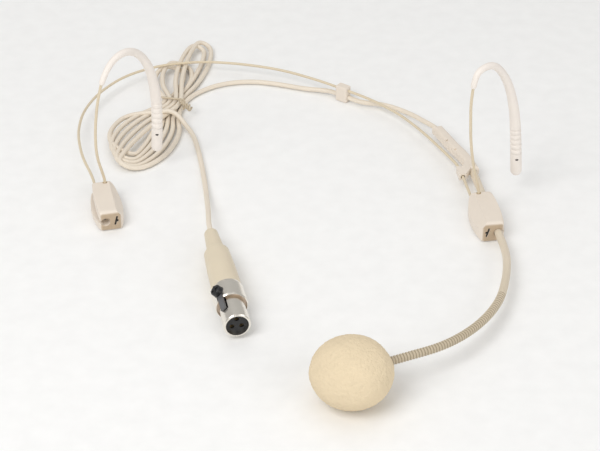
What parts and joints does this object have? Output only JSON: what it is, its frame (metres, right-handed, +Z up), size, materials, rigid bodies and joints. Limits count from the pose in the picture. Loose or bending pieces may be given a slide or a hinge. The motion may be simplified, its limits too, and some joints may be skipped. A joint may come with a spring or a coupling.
{
  "type": "headset microphone",
  "caption": "Wire neckband headset microphone with two ear hooks, gooseneck boom, foam windscreen and coiled cable with a three-contact plug.",
  "frame": {"origin": "on the table, under the middle of the footprint of the headset without its free cable", "axes": "+Z up from the table, +Y to the back of the neckband, +X to the wearer's right, where the boom is"},
  "size_m": [0.1599, 0.2365, 0.059],
  "materials": {
    "cream_plastic": "satin",
    "coated_wire": "satin",
    "silicone": "matte",
    "cable_jacket": "matte",
    "gooseneck_coil": "satin",
    "foam": "matte",
    "brass_fitting": "satin",
    "aluminium_can": "satin",
    "beige_plug_plastic": "satin",
    "nickel_plate": "polished",
    "black_plastic": "satin",
    "spring_steel": "satin",
    "tie_covering": "matte",
    "lead_insulation": "matte"
  },
  "bodies": {
    "headband": {"neckband_wire": "coated_wire", "left_housing": "cream_plastic", "right_housing": "cream_plastic", "left_ear_bush": "brass_fitting", "right_ear_bush": "brass_fitting", "cable_back_run": "cable_jacket", "cable_front_run": "cable_jacket", "cable_hank": "cable_jacket", "cable_lead": "cable_jacket", "twist_tie": "tie_covering", "plug_boot": "beige_plug_plastic", "plug_body": "beige_plug_plastic", "plug_shell": "nickel_plate", "plug_nose": "nickel_plate", "plug_insert": "black_plastic", "plug_contact_1": "brass_fitting", "plug_contact_2": "brass_fitting", "plug_contact_3": "brass_fitting", "latch_spring": "spring_steel"},
    "left_ear_hook": {"left_ear_wire": "coated_wire", "left_ear_sleeve": "silicone"},
    "right_ear_hook": {"right_ear_wire": "coated_wire", "right_ear_sleeve": "silicone"},
    "slider": {"slider_clip": "cream_plastic"},
    "carriage": {"rear_clip": "cream_plastic", "cable_ferrule": "brass_fitting", "signal_lead_rear": "lead_insulation"},
    "boom_root": {"boom_tube": "cable_jacket", "gooseneck_root": "gooseneck_coil", "signal_lead_tube": "lead_insulation", "signal_lead_root": "lead_insulation"},
    "boom_middle": {"gooseneck_middle": "gooseneck_coil", "signal_lead_middle": "lead_insulation"},
    "boom_tip": {"gooseneck_tip": "gooseneck_coil", "signal_lead_tip": "lead_insulation", "signal_lead_capsule": "lead_insulation", "capsule_housing": "cream_plastic", "capsule": "aluminium_can", "capsule_grille": "black_plastic"},
    "windscreen_body": {"windscreen": "foam"},
    "latch": {"latch_button": "black_plastic", "latch_arm": "spring_steel"}
  },
  "joints": [
    {"name": "left_ear_swivel", "type": "hinge", "parent": "headband", "child": "left_ear_hook", "pos_m": [-0.0664, 0.01555, 0.006], "axis": [0, 0, 1], "range_deg": [-50, 30]},
    {"name": "right_ear_swivel", "type": "hinge", "parent": "headband", "child": "right_ear_hook", "pos_m": [0.06391, 0.00878, 0.006], "axis": [0, 0, 1], "range_deg": [-60, 20]},
    {"name": "slider_slide", "type": "slide", "parent": "headband", "child": "slider", "axis": [0.809, -0.5878, 0], "range_m": [-0.0012, 0.0012], "deforming": ["cable_back_run"]},
    {"name": "boom_slide", "type": "slide", "parent": "headband", "child": "carriage", "axis": [0.1478, -0.989, 0], "range_m": [-0.0015, 0.006], "deforming": ["cable_back_run"]},
    {"name": "boom_turn", "type": "hinge", "parent": "carriage", "child": "boom_root", "pos_m": [0.06978, -0.01289, 0.0036], "axis": [0.1478, -0.989, 0], "range_deg": [-45, 45]},
    {"name": "gooseneck_bend_1", "type": "hinge", "parent": "boom_root", "child": "boom_middle", "pos_m": [0.0674, -0.04625, 0.00575], "axis": [0, 0, 1], "range_deg": [-20, 25]},
    {"name": "gooseneck_bend_2", "type": "hinge", "parent": "boom_middle", "child": "boom_tip", "pos_m": [0.0524, -0.07215, 0.00775], "axis": [0, 0, 1], "range_deg": [-20, 25]},
    {"name": "windscreen_pull", "type": "slide", "parent": "boom_tip", "child": "windscreen_body", "axis": [-0.8856, -0.4618, 0.0489], "range_m": [0, 0.026]},
    {"name": "latch_press", "type": "slide", "parent": "headband", "child": "latch", "axis": [0.6929, 0.141, -0.7071], "range_m": [0, 0.0007], "stiffness_N_per_m": 800, "deforming": ["latch_spring"]}
  ],
  "couplings": [
    {"joint": "gooseneck_bend_2", "follows": "gooseneck_bend_1", "ratio": 1}
  ]
}
